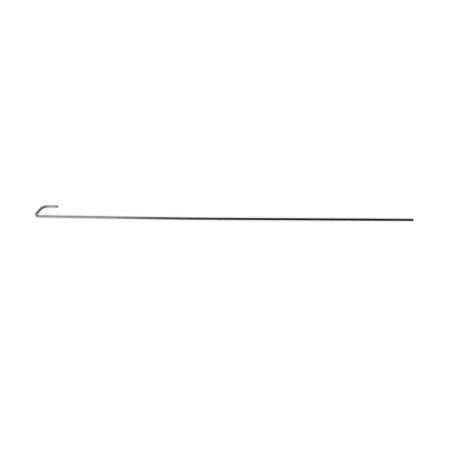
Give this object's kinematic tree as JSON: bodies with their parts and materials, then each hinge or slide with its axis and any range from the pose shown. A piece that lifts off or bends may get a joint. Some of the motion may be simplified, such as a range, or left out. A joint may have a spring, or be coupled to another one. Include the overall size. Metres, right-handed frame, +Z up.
{
  "type": "hooked cable needle",
  "caption": "Long slim needle of round steel wire: a straight shank with a blunt free end, and a V-shaped hook whose short leg turns back alongside the shank.",
  "frame": {"origin": "middle of the underside of the needle's bounding box, with the needle lying flat on its side", "axes": "+X along the straight shank from the hook to the free end, +Y to the side that the hook is bent to, +Z up, square to the plane of the hook"},
  "size_m": [0.35, 0.0128, 0.0022],
  "materials": {
    "steel_wire": "satin drawn wire, fine lines along the wire, rounded ends"
  },
  "bodies": {
    "root": {"needle_wire": "steel_wire"}
  },
  "joints": []
}
